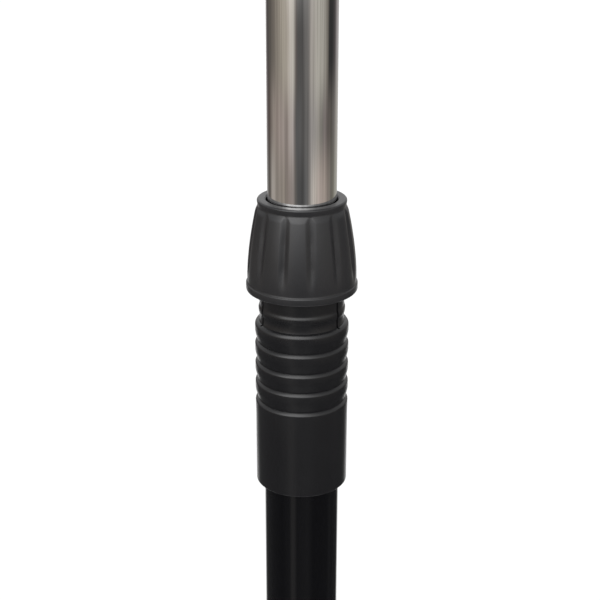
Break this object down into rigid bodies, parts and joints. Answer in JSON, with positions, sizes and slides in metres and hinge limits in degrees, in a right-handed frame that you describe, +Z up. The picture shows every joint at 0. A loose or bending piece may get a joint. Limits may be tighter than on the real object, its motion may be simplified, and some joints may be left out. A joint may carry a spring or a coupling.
{
  "type": "music stand",
  "caption": "Folding music stand with a tripod base, a telescopic column locked by a fluted twist collar, and a tilting slotted desk with a ledge.",
  "frame": {"origin": "centre of the column foot's flat underside, on the column axis at floor level", "axes": "+Z up along the column; +Y towards the player, the side of the desk that holds the music; +X across the desk, towards the tilt knob"},
  "size_m": [0.5, 0.422, 1.1373],
  "materials": {
    "black_lacquer": "gloss",
    "chrome": "polished",
    "knob_plastic": "satin",
    "sleeve_plastic": "satin gloss",
    "nylon": "matte",
    "rubber": "matte",
    "powder_coat": "fine satin texture",
    "zinc_steel": "zinc plated"
  },
  "bodies": {
    "stand_base": {"lower_tube": "black_lacquer", "column_foot_plug": "rubber", "base_hub": "powder_coat", "clutch_sleeve": "sleeve_plastic", "hub_pin_1": "zinc_steel", "hub_pin_2": "zinc_steel", "hub_pin_3": "zinc_steel"},
    "brace_1": {"brace_1": "powder_coat"},
    "leg_1": {"leg_1": "powder_coat", "leg_foot_1": "rubber", "brace_pin_1": "zinc_steel", "collar_pin_1": "zinc_steel"},
    "brace_2": {"brace_2": "powder_coat"},
    "leg_2": {"leg_2": "powder_coat", "leg_foot_2": "rubber", "brace_pin_2": "zinc_steel", "collar_pin_2": "zinc_steel"},
    "brace_3": {"brace_3": "powder_coat"},
    "leg_3": {"leg_3": "powder_coat", "leg_foot_3": "rubber", "brace_pin_3": "zinc_steel", "collar_pin_3": "zinc_steel"},
    "leg_collar": {"leg_collar": "powder_coat"},
    "collar_lock": {"collar_lock_knob": "knob_plastic"},
    "clamp_ring": {"clamp_ring": "nylon"},
    "clutch_knob": {"clutch_knob": "knob_plastic"},
    "column": {"inner_tube": "chrome", "guide_bush": "nylon", "top_insert": "knob_plastic"},
    "head": {"tilt_head": "knob_plastic"},
    "desk": {"desk_panel": "powder_coat", "desk_ledge": "powder_coat", "desk_bracket": "powder_coat", "tilt_bolt": "zinc_steel", "friction_washer_1": "nylon", "friction_washer_2": "nylon", "bracket_rivet_1": "zinc_steel", "bracket_rivet_2": "zinc_steel", "bracket_rivet_3": "zinc_steel", "bracket_rivet_4": "zinc_steel", "ledge_rivet_1": "zinc_steel", "ledge_rivet_2": "zinc_steel", "ledge_rivet_3": "zinc_steel", "ledge_rivet_4": "zinc_steel"},
    "tilt_knob": {"tilt_knob": "knob_plastic"}
  },
  "joints": [
    {"name": "leg_fold", "type": "hinge", "parent": "stand_base", "child": "brace_1", "pos_m": [0, -0.024, 0.024], "axis": [-1, 0, 0], "range_deg": [0, 52]},
    {"name": "brace_2_fold", "type": "hinge", "parent": "stand_base", "child": "brace_2", "pos_m": [0.02078, 0.012, 0.024], "axis": [0.5, -0.866, 0], "range_deg": [0, 52]},
    {"name": "brace_3_fold", "type": "hinge", "parent": "stand_base", "child": "brace_3", "pos_m": [-0.02078, 0.012, 0.024], "axis": [0.5, 0.866, 0], "range_deg": [0, 52]},
    {"name": "leg_1_fold", "type": "hinge", "parent": "brace_1", "child": "leg_1", "pos_m": [0, -0.13049, 0.09856], "axis": [-1, 0, 0], "range_deg": [-104, 0]},
    {"name": "leg_2_fold", "type": "hinge", "parent": "brace_2", "child": "leg_2", "pos_m": [0.11301, 0.06524, 0.09856], "axis": [0.5, -0.866, 0], "range_deg": [-104, 0]},
    {"name": "leg_3_fold", "type": "hinge", "parent": "brace_3", "child": "leg_3", "pos_m": [-0.11301, 0.06524, 0.09856], "axis": [0.5, 0.866, 0], "range_deg": [-104, 0]},
    {"name": "collar_fold", "type": "hinge", "parent": "leg_1", "child": "leg_collar", "pos_m": [0, -0.024, 0.17313], "axis": [-1, 0, 0], "range_deg": [0, 52]},
    {"name": "collar_lock_turn", "type": "hinge", "parent": "leg_collar", "child": "collar_lock", "pos_m": [0, 0.0233, 0.17513], "axis": [0, 1, 0], "range_deg": [0, 340]},
    {"name": "clamp_ring_lift", "type": "slide", "parent": "stand_base", "child": "clamp_ring", "axis": [0, 0, 1], "range_m": [0, 0.0025]},
    {"name": "clutch_turn", "type": "hinge", "parent": "clamp_ring", "child": "clutch_knob", "pos_m": [0, 0, 0.5793], "axis": [0, 0, 1], "range_deg": [0, 300]},
    {"name": "column_slide", "type": "slide", "parent": "stand_base", "child": "column", "axis": [0, 0, 1], "range_m": [-0.24, 0.19]},
    {"name": "head_swivel", "type": "hinge", "parent": "column", "child": "head", "pos_m": [0, 0, 0.8753], "axis": [0, 0, 1], "continuous": true},
    {"name": "desk_tilt", "type": "hinge", "parent": "head", "child": "desk", "pos_m": [0, 0, 0.9056], "axis": [1, 0, 0], "range_deg": [-20, 65]},
    {"name": "tilt_knob_turn", "type": "hinge", "parent": "desk", "child": "tilt_knob", "pos_m": [0.0114, 0, 0.9056], "axis": [1, 0, 0], "range_deg": [0, 340]}
  ],
  "couplings": [
    {"joint": "brace_2_fold", "follows": "leg_fold", "ratio": 1},
    {"joint": "brace_3_fold", "follows": "leg_fold", "ratio": 1},
    {"joint": "leg_1_fold", "follows": "leg_fold", "ratio": -2},
    {"joint": "leg_2_fold", "follows": "leg_fold", "ratio": -2},
    {"joint": "leg_3_fold", "follows": "leg_fold", "ratio": -2},
    {"joint": "collar_fold", "follows": "leg_fold", "ratio": 1},
    {"joint": "clamp_ring_lift", "follows": "clutch_turn", "m_per_rad": 0.00047746}
  ]
}
